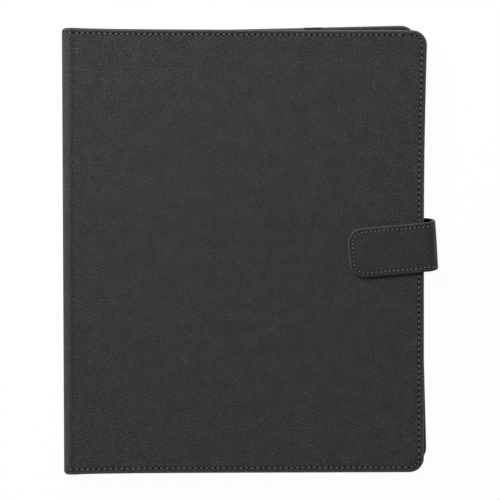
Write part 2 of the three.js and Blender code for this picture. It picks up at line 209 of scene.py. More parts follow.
def weld(piece, distance=1e-6):  # joins near points and turns all faces outwards
    work = bmesh.new()
    work.from_mesh(piece.data)
    bmesh.ops.remove_doubles(work, verts=work.verts, dist=distance)
    bmesh.ops.dissolve_degenerate(work, edges=work.edges, dist=1e-8)
    bmesh.ops.recalc_face_normals(work, faces=work.faces)
    work.to_mesh(piece.data)
    work.free()
    piece.data.shade_smooth()
    return piece


def gridFaces(grid):  # quads of a block of vertex numbers
    a, b, c, d = grid[:-1, :-1], grid[:-1, 1:], grid[1:, 1:], grid[1:, :-1]
    return np.stack([a, b, c, d], axis=-1).reshape(-1, 4)


def rimPath(size, inset):
    # The rim at one inset, from the spine along the top, round the two fore-edge corners and
    # back along the bottom. A corner has a straight, an arc of radius R - inset and a straight.
    keep = size["innerInset"]
    reach = size["height"] / 2
    flareEnd = size.get("flareEnd", 0)
    radius = max(size["cornerRadius"] - inset, 0)
    width = size["width"]
    columns = size["columns"]
    rows = size["rows"]
    straight = np.linspace(0, 1, size["cornerStraight"] + 1)[1:]
    turn = np.linspace(0, 1, size["cornerArc"] + 1)[1:]

    def spread(up):  # the fore-edge's flare, a squared ease towards its end
        if not flareEnd:
            return 0 * up
        start = reach - size["flareLength"]
        return size["flare"] * np.clip((flareEnd * up - start) / size["flareLength"], 0, 1) ** 2

    def corner(end):
        edge = width - inset + spread(np.array(end * (reach - radius)))
        far = edge - radius
        top = reach - inset
        first = np.stack([width - keep + (far - width + keep) * straight, 0 * straight + top], -1)
        angle = math.pi / 2 * (1 - turn)
        arc = np.stack([far + radius * np.cos(angle), top - radius + radius * np.sin(angle)], -1)
        low = reach - keep
        last = np.stack([0 * straight + edge, top - radius + (low - top + radius) * straight], -1)
        last[:, 0] = width - inset + spread(end * last[:, 1])
        points = np.concatenate([first, arc, last])[:-1]
        points[:, 1] *= end
        return points

    top = np.stack([columns, 0 * columns + reach - inset], -1)
    side = np.stack([width - inset + spread(rows[::-1]), rows[::-1]], -1)
    bottom = np.stack([columns[::-1], 0 * columns - reach + inset], -1)
    return np.concatenate([top, corner(1), side, corner(-1)[::-1], bottom])


def ringedSheet(name, place, size, rings, relief=None):
    # A closed sheet with a rounded rim: an outer grid, rings of (inset, depth) carried round
    # the rim from the outer face to the inner one, and an inner grid. place turns along, up and
    # depth into points, and relief adds depth to the outer face and the rim.
    columns = size["columns"]
    rows = size["rows"]
    keep = size["innerInset"]
    innerRim = rimPath(size, keep)
    cornerCount = size["cornerStraight"] * 2 + size["cornerArc"] - 1
    firstSide = len(columns) + cornerCount
    rowEdge = innerRim[firstSide:firstSide + len(rows), 0][::-1]
    stretch = (rowEdge - columns[0]) / (columns[-1] - columns[0])
    gridAlong = columns[0] + (columns[None, :] - columns[0]) * stretch[:, None]
    gridUp = np.repeat(rows[:, None], len(columns), axis=1)
    parts = []
    insets = []
    phases = []
    runs = []

    def addPart(along, up, depth, inset, phase, outer):
        extra = relief(along, up, inset, phase) if relief is not None and outer else 0
        parts.append(place(along, up, depth + extra).reshape(-1, 3))
        insets.append(np.broadcast_to(inset, along.shape).reshape(-1))
        phases.append(np.broadcast_to(phase, along.shape).reshape(-1))
        runs.append(along.reshape(-1))

    noPhase = 0.5  # half-way between two needle holes
    addPart(gridAlong, gridUp, rings[0][1], keep, noPhase, True)
    rimAlong = innerRim[:, 0]
    halfSteps = np.arange(len(rimAlong)) / 2
    phase = np.where(rimAlong < 0, rimAlong / size["pitch"], halfSteps)
    phase = np.where(rimAlong < size["stitchStart"], noPhase, phase)
    for inset, depth in rings:
        path = rimPath(size, inset)
        addPart(path[:, 0], path[:, 1], depth, inset, phase, True)
    addPart(gridAlong, gridUp, rings[-1][1], keep, noPhase, False)
    gridCount = gridAlong.size
    pathCount = len(innerRim)
    outerGrid = np.arange(gridCount).reshape(gridAlong.shape)
    ringGrid = gridCount + np.arange(len(rings) * pathCount).reshape(len(rings), pathCount)
    innerGrid = gridCount + len(rings) * pathCount + np.arange(gridCount).reshape(gridAlong.shape)
    faces = np.concatenate([gridFaces(outerGrid), gridFaces(ringGrid), gridFaces(innerGrid)])
    openEnd = np.concatenate([
        ringGrid[:, 0], innerGrid[::-1, 0][1:-1], ringGrid[::-1, -1], outerGrid[:, 0][1:-1],
    ])
    allFaces = [face for face in faces.tolist() if len(set(face)) > 2]
    allFaces.append(openEnd.tolist())
    points = np.concatenate(parts)
    attributes = {
        "edgeInset": np.concatenate(insets),
        "stitchPhase": np.concatenate(phases),
        "runAlong": np.concatenate(runs),
    }
    return weld(makeObject(name, points, allFaces, attributes))


threadForm = {
    "stations": 7,
    "sides": 6,
    "arch": 1.15,  # rise of a stitch's middle over its ends, in thread radii
    "sunk": 0.35,  # depth of its ends, in thread radii
    "taper": 0.96,
}


def threads(name, place, holes, depthAt, facing, gauge):
    # One short capsule between each two needle holes, arched over the leather: its height is
    # an arch 1 - t^2 along the stitch and its section a circle whose radius eases at the ends.
    starts, ends = holes[:-1], holes[1:]
    near = np.linalg.norm(ends - starts, axis=1) < gauge["longest"]
    starts, ends = starts[near], ends[near]
    radius = gauge["radius"]
    stations = np.linspace(-1, 1, threadForm["stations"])
    around = np.arange(threadForm["sides"]) * math.tau / threadForm["sides"]
    middle = (starts + ends) / 2
    run = (ends - starts) / 2 * gauge["share"]
    base = middle[:, None, :] + run[:, None, :] * stations[None, :, None]
    arch = radius * (threadForm["arch"] * (1 - stations**2) - threadForm["sunk"])
    swell = radius * np.sqrt(np.clip(1 - (threadForm["taper"] * stations) ** 4, 0, 1))
    lengths = np.linalg.norm(run, axis=1, keepdims=True)
    across = np.stack([-run[:, 1], run[:, 0]], -1) / lengths
    sideways = swell[:, None] * np.cos(around)[None, :]
    lift = swell[:, None] * np.sin(around)[None, :]
    along = base[:, :, None, 0] + across[:, None, None, 0] * sideways[None]
    up = base[:, :, None, 1] + across[:, None, None, 1] * sideways[None]
    depth = depthAt - facing * (arch[None, :, None] + lift[None]) + 0 * along
    points = place(along, up, depth).reshape(-1, 3)
    block = np.arange(len(stations) * len(around)).reshape(len(stations), len(around))
    quads = gridFaces(np.concatenate([block, block[:, :1]], axis=1))
    offsets = np.arange(len(middle)) * block.size
    faces = (quads[None] + offsets[:, None, None]).reshape(-1, 4).tolist()
    faces += (block[0][None, ::-1] + offsets[:, None]).tolist()
    faces += (block[-1][None] + offsets[:, None]).tolist()
    return weld(makeObject(name, points, faces), 1e-9)


def evenPoints(corners, pitch):  # points at an even pitch along a line of corners
    corners = np.asarray(corners)
    steps = np.linalg.norm(np.diff(corners, axis=0), axis=1)
    reached = np.concatenate([[0], np.cumsum(steps)])
    at = np.linspace(0, reached[-1], round(reached[-1] / pitch) + 1)
    return np.stack([np.interp(at, reached, corners[:, axis]) for axis in (0, 1)], -1)


# Node helpers
def plug(tree, value, socket):  # a number is set on the socket, and anything else is linked
    if isinstance(value, (int, float)):
        socket.default_value = value
    elif value is not None:
        tree.links.new(value, socket)


def sums(tree, operation, first, second=None, clamp=False):  # one step of arithmetic
    made = tree.nodes.new("ShaderNodeMath")
    made.operation = operation
    made.use_clamp = clamp
    plug(tree, first, made.inputs[0])
    plug(tree, second, made.inputs[1])
    return made.outputs[0]


# A value between low and high, carried onto newLow to newHigh with a smooth step
def ranged(tree, value, low, high, newLow=0.0, newHigh=1.0, soft=True):
    made = tree.nodes.new("ShaderNodeMapRange")
    made.interpolation_type = "SMOOTHSTEP" if soft else "LINEAR"
    plug(tree, value, made.inputs["Value"])
    plug(tree, low, made.inputs["From Min"])
    plug(tree, high, made.inputs["From Max"])
    plug(tree, newLow, made.inputs["To Min"])
    plug(tree, newHigh, made.inputs["To Max"])
    return made.outputs["Result"]


# first x (1 - factor) + second x factor, for colours
def mixed(tree, factor, first, second):
    made = tree.nodes.new("ShaderNodeMix")
    made.data_type = "RGBA"
    for key, value in ((0, factor), (6, first), (7, second)):
        if isinstance(value, tuple):
            made.inputs[key].default_value = (*value, 1)
        else:
            plug(tree, value, made.inputs[key])
    return made.outputs[2]


def noise(tree, place, scale, detail=2.0):  # soft random specks
    made = tree.nodes.new("ShaderNodeTexNoise")
    made.inputs["Scale"].default_value = scale
    made.inputs["Detail"].default_value = detail
    tree.links.new(place, made.inputs["Vector"])
    return made.outputs


def newGroup(name, inputs, outputs):
    group = bpy.data.node_groups.new(name, "ShaderNodeTree")
    for label, kind, value in inputs:
        socket = group.interface.new_socket(label, in_out="INPUT", socket_type=kind)
        if value is not None:
            socket.default_value = value
    for label in outputs:
        group.interface.new_socket(label, in_out="OUTPUT", socket_type="NodeSocketFloat")
    return group, group.nodes.new("NodeGroupInput"), group.nodes.new("NodeGroupOutput")


def newMaterial(name, roughness, specular=0.5, metallic=0.0):
    material = bpy.data.materials.new(name)
    material.use_nodes = True
    tree = material.node_tree
    shader = tree.nodes["Principled BSDF"]
    shader.inputs["Roughness"].default_value = roughness
    shader.inputs["Specular IOR Level"].default_value = specular
    shader.inputs["Metallic"].default_value = metallic
    return material, tree, shader


def bumped(tree, shader, height, strength, distance):  # a height as relief in the light
    bump = tree.nodes.new("ShaderNodeBump")
    bump.inputs["Strength"].default_value = strength
    bump.inputs["Distance"].default_value = distance
    tree.links.new(height, bump.inputs["Height"])
    tree.links.new(bump.outputs["Normal"], shader.inputs["Normal"])


def objectPlace(tree):  # the piece's own coordinates
    return tree.nodes.new("ShaderNodeTexCoord").outputs["Object"]


def attributeOf(tree, name):  # what ringedSheet wrote on the mesh
    reader = tree.nodes.new("ShaderNodeAttribute")
    reader.attribute_name = name
    return reader.outputs["Fac"]


# Embossed leather grain: pebbles between creases, with finer ones in between
grainForm = {
    "warpScale": 260,
    "warpShift": 0.0016,
    "cellShares": (1.0, 2.3),  # of the scale, for the pebbles and the finer ones
    "creaseWidth": 0.22,
    "pebbles": 0.62,  # share of each in the height
    "finePebbles": 0.26,
    "dust": 0.24,
    "dustScale": 2600,
    "mottleScale": 95,
    "mottleRange": (0.32, 0.68),
}


def makeGrainGroup():
    group, given, result = newGroup(
        "leatherGrain",
        [("Place", "NodeSocketVector", None), ("Scale", "NodeSocketFloat", 700.0)],
        ["Height", "Crease", "Mottle"],
    )
    links = group.links
    place = given.outputs["Place"]
    shift = group.nodes.new("ShaderNodeVectorMath")
    shift.operation = "MULTIPLY_ADD"
    links.new(noise(group, place, grainForm["warpScale"])["Color"], shift.inputs[0])
    shift.inputs[1].default_value = [grainForm["warpShift"]] * 3
    links.new(place, shift.inputs[2])
    heights = []
    for share in grainForm["cellShares"]:
        cells = group.nodes.new("ShaderNodeTexVoronoi")
        cells.feature = "DISTANCE_TO_EDGE"
        links.new(shift.outputs[0], cells.inputs["Vector"])
        links.new(sums(group, "MULTIPLY", given.outputs["Scale"], share), cells.inputs["Scale"])
        heights.append(ranged(group, cells.outputs["Distance"], 0.0, grainForm["creaseWidth"]))
    fine = noise(group, place, grainForm["dustScale"], 3)["Fac"]
    broad = noise(group, place, grainForm["mottleScale"], 5)["Fac"]
    pebbles = sums(group, "MULTIPLY", heights[0], grainForm["pebbles"])
    small = sums(group, "MULTIPLY", heights[1], grainForm["finePebbles"])
    dust = sums(group, "MULTIPLY", fine, grainForm["dust"])
    height = sums(group, "ADD", sums(group, "ADD", pebbles, small), dust)
    links.new(height, result.inputs["Height"])
    links.new(sums(group, "SUBTRACT", 1.0, heights[0]), result.inputs["Crease"])
    links.new(ranged(group, broad, *grainForm["mottleRange"]), result.inputs["Mottle"])
    return group


# Needle holes along a stitch line, from the mesh's own stitch count and inset from the edge
holeForm = {  # each from full to none, in hole sizes
    "hole": (0.55, 1.1),  # from the hole's middle
    "furrow": (0.4, 2.4),  # from the stitch line
}


def makeHoleGroup():
    group, given, result = newGroup(
        "stitchHoles",
        [("Pitch", "NodeSocketFloat", 4 * mm), ("Line", "NodeSocketFloat", 3.1 * mm),
         ("Size", "NodeSocketFloat", 0.55 * mm)],
        ["Hole", "Furrow"],
    )
    phase = attributeOf(group, "stitchPhase")
    inset = attributeOf(group, "edgeInset")
    off = sums(group, "SUBTRACT", phase, sums(group, "ROUND", phase))
    run = sums(group, "MULTIPLY", off, given.outputs["Pitch"])
    across = sums(group, "SUBTRACT", inset, given.outputs["Line"])
    runSquare = sums(group, "MULTIPLY", run, run)
    acrossSquare = sums(group, "MULTIPLY", across, across)
    distance = sums(group, "SQRT", sums(group, "ADD", runSquare, acrossSquare))
    ratio = sums(group, "DIVIDE", distance, given.outputs["Size"])
    side = sums(group, "ABSOLUTE", sums(group, "DIVIDE", across, given.outputs["Size"]))
    group.links.new(ranged(group, ratio, *holeForm["hole"], 1.0, 0.0), result.inputs["Hole"])
    group.links.new(ranged(group, side, *holeForm["furrow"], 1.0, 0.0), result.inputs["Furrow"])
    return group


def useGroup(tree, group, **values):  # a group with its inputs set by name
    made = tree.nodes.new("ShaderNodeGroup")
    made.node_tree = group
    for key, value in values.items():
        made.inputs[key].default_value = value
    return made


# Wear and painted highlight as a mask: rim wear with a painted highlight along a piece's rim, and a
# painted highlight over one fold that lies across its run
wearAndHighlightForm = {
    "rimFrom": 0.1 * mm,  # from the edge
    # share of the rim's colour at the very edge: its wear, with a painted highlight
    "rimWearAndHighlight": 0.6,
}


def makeWearAndHighlightGroup():
    group, given, result = newGroup(
        "leatherWearAndHighlight",
        [("RimWidth", "NodeSocketFloat", 2 * mm), ("FoldStart", "NodeSocketFloat", 0.0),
         ("FoldEnd", "NodeSocketFloat", 5 * mm), ("FoldSoft", "NodeSocketFloat", 1 * mm),
         ("FoldWear", "NodeSocketFloat", 0.1)],
        ["Wear"],
    )
    inset = attributeOf(group, "edgeInset")
    rimWidth = given.outputs["RimWidth"]
    rim = ranged(group, inset, wearAndHighlightForm["rimFrom"], rimWidth, wearAndHighlightForm["rimWearAndHighlight"], 0.0)
    run = attributeOf(group, "runAlong")
    start, end, soft = (given.outputs[name] for name in ("FoldStart", "FoldEnd", "FoldSoft"))
    onto = ranged(group, run, sums(group, "SUBTRACT", start, soft), sums(group, "ADD", start, soft))
    off = ranged(group, run, sums(group, "SUBTRACT", end, soft), sums(group, "ADD", end, soft), 1.0, 0.0)
    fold = sums(group, "MULTIPLY", sums(group, "MULTIPLY", onto, off), given.outputs["FoldWear"])
    group.links.new(sums(group, "MAXIMUM", rim, fold), result.inputs["Wear"])
    return group


# Threads both ways as half waves, |sin|, on the piece's own coordinates
def makeWeaveGroup():
    group, given, result = newGroup(
        "weave",
        [("Place", "NodeSocketVector", None), ("WarpPitch", "NodeSocketFloat", 1 * mm),
         ("WeftPitch", "NodeSocketFloat", 1 * mm)],
        ["Warp", "Weft"],
    )
    parts = group.nodes.new("ShaderNodeSeparateXYZ")
    group.links.new(given.outputs["Place"], parts.inputs[0])
    for axis, yarn in (("X", "Warp"), ("Y", "Weft")):
        turns = sums(group, "DIVIDE", parts.outputs[axis], given.outputs[f"{yarn}Pitch"])
        wave = sums(group, "SINE", sums(group, "MULTIPLY", turns, math.pi))
        group.links.new(sums(group, "ABSOLUTE", wave), result.inputs[yarn])
    return group


leather = {
    "deep": (0.0370, 0.0370, 0.0374),
    "raised": (0.0435, 0.0435, 0.0439),
    # edge: the rim's colour, its wear with a painted highlight where the rolled edge would catch the
    # light
    "edge": (0.145, 0.145, 0.145),
    # painted shade in the grain's creases
    "creaseShadow": (0.006, 0.006, 0.006),
    # painted shade along the stitch furrow
    "furrow": (0.014, 0.014, 0.014),
    # painted shade inside the needle holes
    "hole": (0.002, 0.002, 0.002),
    "roughness": 0.56,
    "roughnessSpread": (0.05, -0.04),  # against that, on the deep and the raised patches
    "specular": 0.12,
    "grainScale": 560.0,
    "grainDepth": 0.8 * mm,
    "grainBump": 0.8,
    "creaseShade": 0.46,
    "furrowShade": 0.3,
    "holeDip": 1.6,  # depth of a needle hole, in grain depths
    "edgeWidth": 2.0 * mm,
    # fold: a painted highlight over the spine's rounded roll
    "fold": (-12.0 * mm, -2.6 * mm, 1.2 * mm),  # start, end and softness along the piece
    "foldHighlight": 0.10,
}


def makeLeather(name, pitch, line, values, holeSize=0.8 * mm):
    material, tree, shader = newMaterial(name, values["roughness"], values["specular"])
    grain = useGroup(tree, grainGroup, Scale=values["grainScale"])
    tree.links.new(objectPlace(tree), grain.inputs["Place"])
    holes = useGroup(tree, holeGroup, Pitch=pitch, Line=line, Size=holeSize)
    ground = mixed(tree, grain.outputs["Mottle"], values["deep"], values["raised"])
    # The grain's creases darkened as painted shade
    creases = sums(tree, "MULTIPLY", grain.outputs["Crease"], values["creaseShade"])
    creased = mixed(tree, creases, ground, values["creaseShadow"])
    foldStart, foldEnd, foldSoft = values["fold"]
    wearAndHighlight = useGroup(
        tree, wearAndHighlightGroup, RimWidth=values["edgeWidth"], FoldStart=foldStart, FoldEnd=foldEnd,
        FoldSoft=foldSoft, FoldWear=values["foldHighlight"],
    )
    # The rim's wear with a painted highlight, and a painted highlight over one fold
    wornAndLit = mixed(tree, wearAndHighlight.outputs["Wear"], creased, values["edge"])
    # The stitch furrow darkened as painted shade
    furrow = sums(tree, "MULTIPLY", holes.outputs["Furrow"], values["furrowShade"])
    furrowed = mixed(tree, furrow, wornAndLit, values["furrow"])
    # The needle holes darkened as painted shade
    pierced = mixed(tree, holes.outputs["Hole"], furrowed, values["hole"])
    tree.links.new(pierced, shader.inputs["Base Color"])
    onDeep, onRaised = (values["roughness"] + change for change in values["roughnessSpread"])
    roughness = ranged(tree, grain.outputs["Mottle"], 0.0, 1.0, onDeep, onRaised)
    tree.links.new(roughness, shader.inputs["Roughness"])
    dips = sums(tree, "MULTIPLY", holes.outputs["Hole"], values["holeDip"])
    height = sums(tree, "SUBTRACT", grain.outputs["Height"], dips)
    bumped(tree, shader, height, values["grainBump"], values["grainDepth"])
    return material


grainGroup = makeGrainGroup()
holeGroup = makeHoleGroup()
wearAndHighlightGroup = makeWearAndHighlightGroup()
weaveGroup = makeWeaveGroup()


threadLook = {  # sewing thread, with a fine noise for its twist
    "dark": (0.07, 0.07, 0.07),
    "light": (0.15, 0.15, 0.15),
    "roughness": 0.6,
    "specular": 0.4,
    "twistScale": 5200,
    "bump": 0.5,
    "relief": 0.08 * mm,
}


def makeThreadMaterial():
    material, tree, shader = newMaterial("thread", threadLook["roughness"], threadLook["specular"])
    twist = noise(tree, objectPlace(tree), threadLook["twistScale"])["Fac"]
    colour = mixed(tree, twist, threadLook["dark"], threadLook["light"])
    tree.links.new(colour, shader.inputs["Base Color"])
    bumped(tree, shader, twist, threadLook["bump"], threadLook["relief"])
    return material


clothLook = {  # the lining's plain weave, with a fuzz that breaks up its threads
    "dark": (0.006, 0.006, 0.007),
    "light": (0.020, 0.020, 0.022),
    "roughness": 0.85,
    "specular": 0.25,
    "pitch": 0.45 * mm,
    "fuzzScale": 420,
    "fuzzDetail": 6,
    "fuzzLeast": 0.3,
    "bump": 0.6,
    "relief": 0.12 * mm,
}


def makeLiningCloth():
    material, tree, shader = newMaterial("liningCloth", clothLook["roughness"], clothLook["specular"])
    place = objectPlace(tree)
    yarns = useGroup(tree, weaveGroup, WarpPitch=clothLook["pitch"], WeftPitch=clothLook["pitch"])
    tree.links.new(place, yarns.inputs["Place"])
    weave = sums(tree, "MAXIMUM", yarns.outputs["Warp"], yarns.outputs["Weft"])
    specks = noise(tree, place, clothLook["fuzzScale"], clothLook["fuzzDetail"])["Fac"]
    fuzz = sums(tree, "ADD", specks, clothLook["fuzzLeast"])
    shade = sums(tree, "MULTIPLY", weave, fuzz, clamp=True)
    tree.links.new(mixed(tree, shade, clothLook["dark"], clothLook["light"]), shader.inputs["Base Color"])
    bumped(tree, shader, shade, clothLook["bump"], clothLook["relief"])
    return material


elasticLook = {  # cords along the band, with the weft showing between them
    "dark": (0.004, 0.004, 0.004),
    "light": (0.014, 0.014, 0.014),
    "roughness": 0.8,
    "specular": 0.3,
    "cordPitch": 1.05 * mm,
    "weftPitch": 0.5 * mm,
    "cordShare": 0.7,  # of the weave's height, and the weft has the rest
    "bump": 0.8,
    "relief": 0.2 * mm,
}


def makeElastic():
    material, tree, shader = newMaterial("elastic", elasticLook["roughness"], elasticLook["specular"])
    pitches = {"WarpPitch": elasticLook["cordPitch"], "WeftPitch": elasticLook["weftPitch"]}
    yarns = useGroup(tree, weaveGroup, **pitches)
    tree.links.new(objectPlace(tree), yarns.inputs["Place"])
    cords = sums(tree, "MULTIPLY", yarns.outputs["Warp"], elasticLook["cordShare"])
    weft = sums(tree, "MULTIPLY", yarns.outputs["Weft"], 1 - elasticLook["cordShare"])
    weave = sums(tree, "ADD", cords, weft)
    colour = mixed(tree, weave, elasticLook["dark"], elasticLook["light"])
    tree.links.new(colour, shader.inputs["Base Color"])
    bumped(tree, shader, weave, elasticLook["bump"], elasticLook["relief"])
    return material


boardLook = {  # grey board, with its fibres as a fine noise
    "dark": (0.24, 0.22, 0.18),
    "light": (0.36, 0.33, 0.28),
    "roughness": 0.9,
    "specular": 0.2,
    "fibreScale": 900,
    "fibreDetail": 8,
    "bump": 0.4,
    "relief": 0.1 * mm,
}


def makeBoard():
    material, tree, shader = newMaterial("greyBoard", boardLook["roughness"], boardLook["specular"])
    fibres = noise(tree, objectPlace(tree), boardLook["fibreScale"], boardLook["fibreDetail"])["Fac"]
    colour = mixed(tree, fibres, boardLook["dark"], boardLook["light"])
    tree.links.new(colour, shader.inputs["Base Color"])
    bumped(tree, shader, fibres, boardLook["bump"], boardLook["relief"])
    return material


magnetLook = {  # brushed steel, as one noise for its shade and its roughness
    "dark": (0.42, 0.42, 0.44),
    "light": (0.56, 0.56, 0.58),
    "smoothest": 0.28,
    "roughest": 0.44,
    "specular": 0.5,
    "metallic": 0.95,
    "brushingScale": 700,
    "brushingRange": (0.2, 0.8),
}


def makeMagnetSteel():
    smoothest, roughest = magnetLook["smoothest"], magnetLook["roughest"]
    shine = (magnetLook["specular"], magnetLook["metallic"])
    material, tree, shader = newMaterial("magnetSteel", smoothest, *shine)
    brushing = noise(tree, objectPlace(tree), magnetLook["brushingScale"])["Fac"]
    colour = mixed(tree, brushing, magnetLook["dark"], magnetLook["light"])
    tree.links.new(colour, shader.inputs["Base Color"])
    roughness = ranged(tree, brushing, *magnetLook["brushingRange"], smoothest, roughest)
    tree.links.new(roughness, shader.inputs["Roughness"])
    return material


coverLeather = makeLeather("coverLeather", stitching["pitch"], stitching["inset"], leather)
threadMaterial = makeThreadMaterial()
liningCloth = makeLiningCloth()
elasticMaterial = makeElastic()
boardMaterial = makeBoard()
magnetMaterial = makeMagnetSteel()
print("materials made")


def finish(piece, material):  # a piece's look, in its one material slot
    piece.data.materials.clear()
    piece.data.materials.append(material)
    return piece


# Covers
def coverSize(side):
    keep = cover["innerInset"]
    flat = np.linspace(0, cover["width"] - keep, round((cover["width"] - keep) / cover["step"]) + 1)
    roll = np.linspace(-rollLength, 0, spine["columns"] + 1)[:-1]
    reach = cover["height"] / 2 - keep
    return {
        "width": cover["width"],
        "height": cover["height"],
        "cornerRadius": cover["cornerRadius"],
        "innerInset": keep,
        "flareEnd": 1 if side == "front" else 0,
        "flare": cover["flare"],
        "flareLength": cover["flareLength"],
        "columns": np.concatenate([roll, flat]),
        "rows": np.linspace(-reach, reach, round(2 * reach / cover["step"]) + 1),
        "cornerStraight": 3,
        "cornerArc": 7,
        "pitch": stitching["pitch"],
        "stitchStart": stitching["start"],
    }


def thinAtSpine(along, depth):  # there is no board in the groove and the spine's ends
    onBoard = smooth((along - cover["thickenFrom"]) / cover["thickenOver"])
    return depth * (cover["spineShare"] + (1 - cover["spineShare"]) * onBoard)


def skinPlace(side):
    return lambda along, up, depth: coverPoint(side, along, up, thinAtSpine(along, depth))


def skinRings():
    # Outer face, stitch line, half-round rim, hem, and the hidden sides of the hem and the face
    rim = cover["rim"]
    deep = cover["deep"]
    skin = cover["skin"]
    keep = cover["innerInset"]
    hem = cover["hem"]
    hemBack = deep - cover["hemThickness"]
    hemEdge = hem - cover["hemRound"]
    flat = cover["insideFlat"]
    turned = cover["insideTurn"]
    step = cover["insideStep"]
    rings = [(keep, 0.0)]
    rings += [(inset * mm, 0.0) for inset in cover["faceRings"]]
    rings += [(stitching["inset"] + offset * mm, 0.0) for offset in cover["seamRings"]]
    for turn in np.linspace(0, math.pi, cover["rimRings"]):
        rings.append((rim * (1 - math.sin(turn)), deep / 2 * (1 - math.cos(turn))))
    rings += [(inset * mm, deep) for inset in cover["hemRings"]]
    rings += [(hemEdge, deep), (hem, (deep + hemBack) / 2), (hemEdge, hemBack)]
    rings += [(flat, hemBack), (turned, hemBack - step), (cover["insideRim"], deep / 2)]
    rings += [(turned, skin + step), (flat, skin), (keep, skin)]
    return rings


boardWaves = {  # the leather's slight waves over a board
    "slow": (41 * mm, 57 * mm, 0.10 * mm),  # length along, length up and height
    "quick": (17 * mm, 23 * mm, 0.035 * mm),
    "front": 0.6,  # what sets one cover's waves off from the other's
    "back": -0.4,
    "offGroove": (3 * mm, 3 * mm),  # where they start, from the groove, and over what length
    "offEdge": (4 * mm, 12 * mm),  # the same from the edge
}


def skinRelief(side):
    # Product of two sines for the slow and the quick waves, and a bell-shaped furrow under the
    # stitches, which is deepest at the needle holes
    sway = boardWaves[side]
    slowAlong, slowUp, slowRise = boardWaves["slow"]
    quickAlong, quickUp, quickRise = boardWaves["quick"]
    grooveFrom, grooveOver = boardWaves["offGroove"]
    edgeFrom, edgeOver = boardWaves["offEdge"]

    def relief(along, up, inset, phase):
        onCover = smooth((along - grooveFrom) / grooveOver)
        sewn = smooth((along - stitching["start"]) / stitching["startOver"])
        pull = 1 - stitching["pull"] * (1 - np.cos(math.tau * phase))
        furrow = stitching["furrow"] * bell(inset, stitching["inset"], stitching["furrowWidth"]) * pull
        slow = slowRise * np.sin(along / slowAlong + sway) * np.sin(up / slowUp + 1.3 * sway)
        quick = quickRise * np.sin(along / quickAlong - 2.1 * sway) * np.sin(up / quickUp + sway)
        broad = smooth((inset - edgeFrom) / edgeOver)
        return sewn * furrow + onCover * broad * (slow + quick)

    return relief


skins = {}
for side in ("front", "back"):
    size = coverSize(side)
    skin = ringedSheet(f"{side}_leather", skinPlace(side), size, skinRings(), skinRelief(side))
    finish(skin, coverLeather)
    skins[side] = skin
    faces = len(skin.data.polygons)
    print(f"{side} leather made:", faces, "faces")

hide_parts("front_skin", "spine_skin")
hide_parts("back_skin")
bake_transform(skins["front"])
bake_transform(skins["back"])

# Cover stitches, outside and on the lining
liningFace = 4.9 * mm  # depth of the linings' faces under the covers' outer faces


def coverHoles(size):
    # Every second point of the stitch line, and one more at each end, on the spine's roll
    holes = rimPath(size, stitching["inset"])[::2]
    holes = holes[holes[:, 0] >= 0]
    first = holes[0] - [stitching["pitch"], 0]
    last = holes[-1] - [stitching["pitch"], 0]
    return np.concatenate([[first], holes, [last]])


coverGauge = {
    "radius": stitching["threadRadius"],
    "share": stitching["threadShare"],
    "longest": 6 * mm,  # two holes further apart have no stitch between them
}
for side in ("front", "back"):
    size = coverSize(side)
    holes = coverHoles(size)
    place = skinPlace(side)
    outerDepth = stitching["furrow"] * stitching["sunk"]
    thread = threads(f"{side}_stitches", place, holes, outerDepth, 1, coverGauge)
    finish(thread, threadMaterial)
    innerThread = threads(f"{side}_inner_stitches", place, holes, liningFace, -1, coverGauge)
    finish(innerThread, threadMaterial)
    for piece in (thread, innerThread):
        if side == "front":
            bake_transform(piece)
        else:
            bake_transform(piece)
print("stitches made")

# Linings, each with its half of the spine's lining
lining = {
    "inset": 2.6 * mm,
    "thickness": 0.7 * mm,
    "atSpine": 2.9 * mm,  # depth of its face in the middle of the spine
    "atGroove": 1.5 * mm,
    "cardShare": 0.56,  # of the roll, over which the spine's card lies under it
    "rise": 5 * mm,  # how far from the groove it has risen over the board
    "step": 3 * mm,
    "innerInset": 15 * mm,
}


def liningDepth(along):
    # Flat over the spine's card, up to the groove and on to the board, each as a smooth step
    pastCard = (1 + along / rollLength - lining["cardShare"]) / (1 - lining["cardShare"])
    onSpine = lining["atSpine"] + (lining["atGroove"] - lining["atSpine"]) * smooth(pastCard)
    onCover = lining["atGroove"] + (liningFace - lining["atGroove"]) * smooth(along / lining["rise"])
    return np.where(along < 0, onSpine, onCover)


def liningPlace(side):  # the panels follow liningDepth
    return lambda along, up, depth: coverPoint(side, along, up, liningDepth(along) + depth - liningFace)


def liningSize(side):
    size = coverSize(side)
    keep = lining["innerInset"]
    size["width"] -= lining["inset"]
    size["height"] -= 2 * lining["inset"]
    size["cornerRadius"] -= lining["inset"]
    size["innerInset"] = keep
    far = size["width"] - keep
    roll = np.linspace(-rollLength, 0, spine["columns"] // 2 + 1)[:-1]
    size["columns"] = np.concatenate([roll, np.linspace(0, far, round(far / lining["step"]) + 1)])
    reach = size["height"] / 2 - keep
    size["rows"] = np.linspace(-reach, reach, round(2 * reach / lining["step"]) + 1)
    return size


def roundedRings(size, low, high):  # flat, half-round edge, flat again
    radius = (high - low) / 2
    rings = [(size["innerInset"], low), (radius, low)]
    for turn in np.linspace(0, math.pi, 7):
        rings.append((radius * (1 - math.sin(turn)), low + radius * (1 - math.cos(turn))))
    return rings + [(radius * 2, high), (size["innerInset"] * 0.4, high), (size["innerInset"], high)]


for side in ("front", "back"):
    size = liningSize(side)
    rings = roundedRings(size, liningFace - lining["thickness"], liningFace)
    panel = ringedSheet(f"{side}_lining_panel", liningPlace(side), size, rings)
    finish(panel, liningCloth)
    if side == "front":
        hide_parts("front_lining", "spine_lining")
        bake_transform(panel)
    else:
        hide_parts("back_lining")
        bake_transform(panel)
print("linings made")

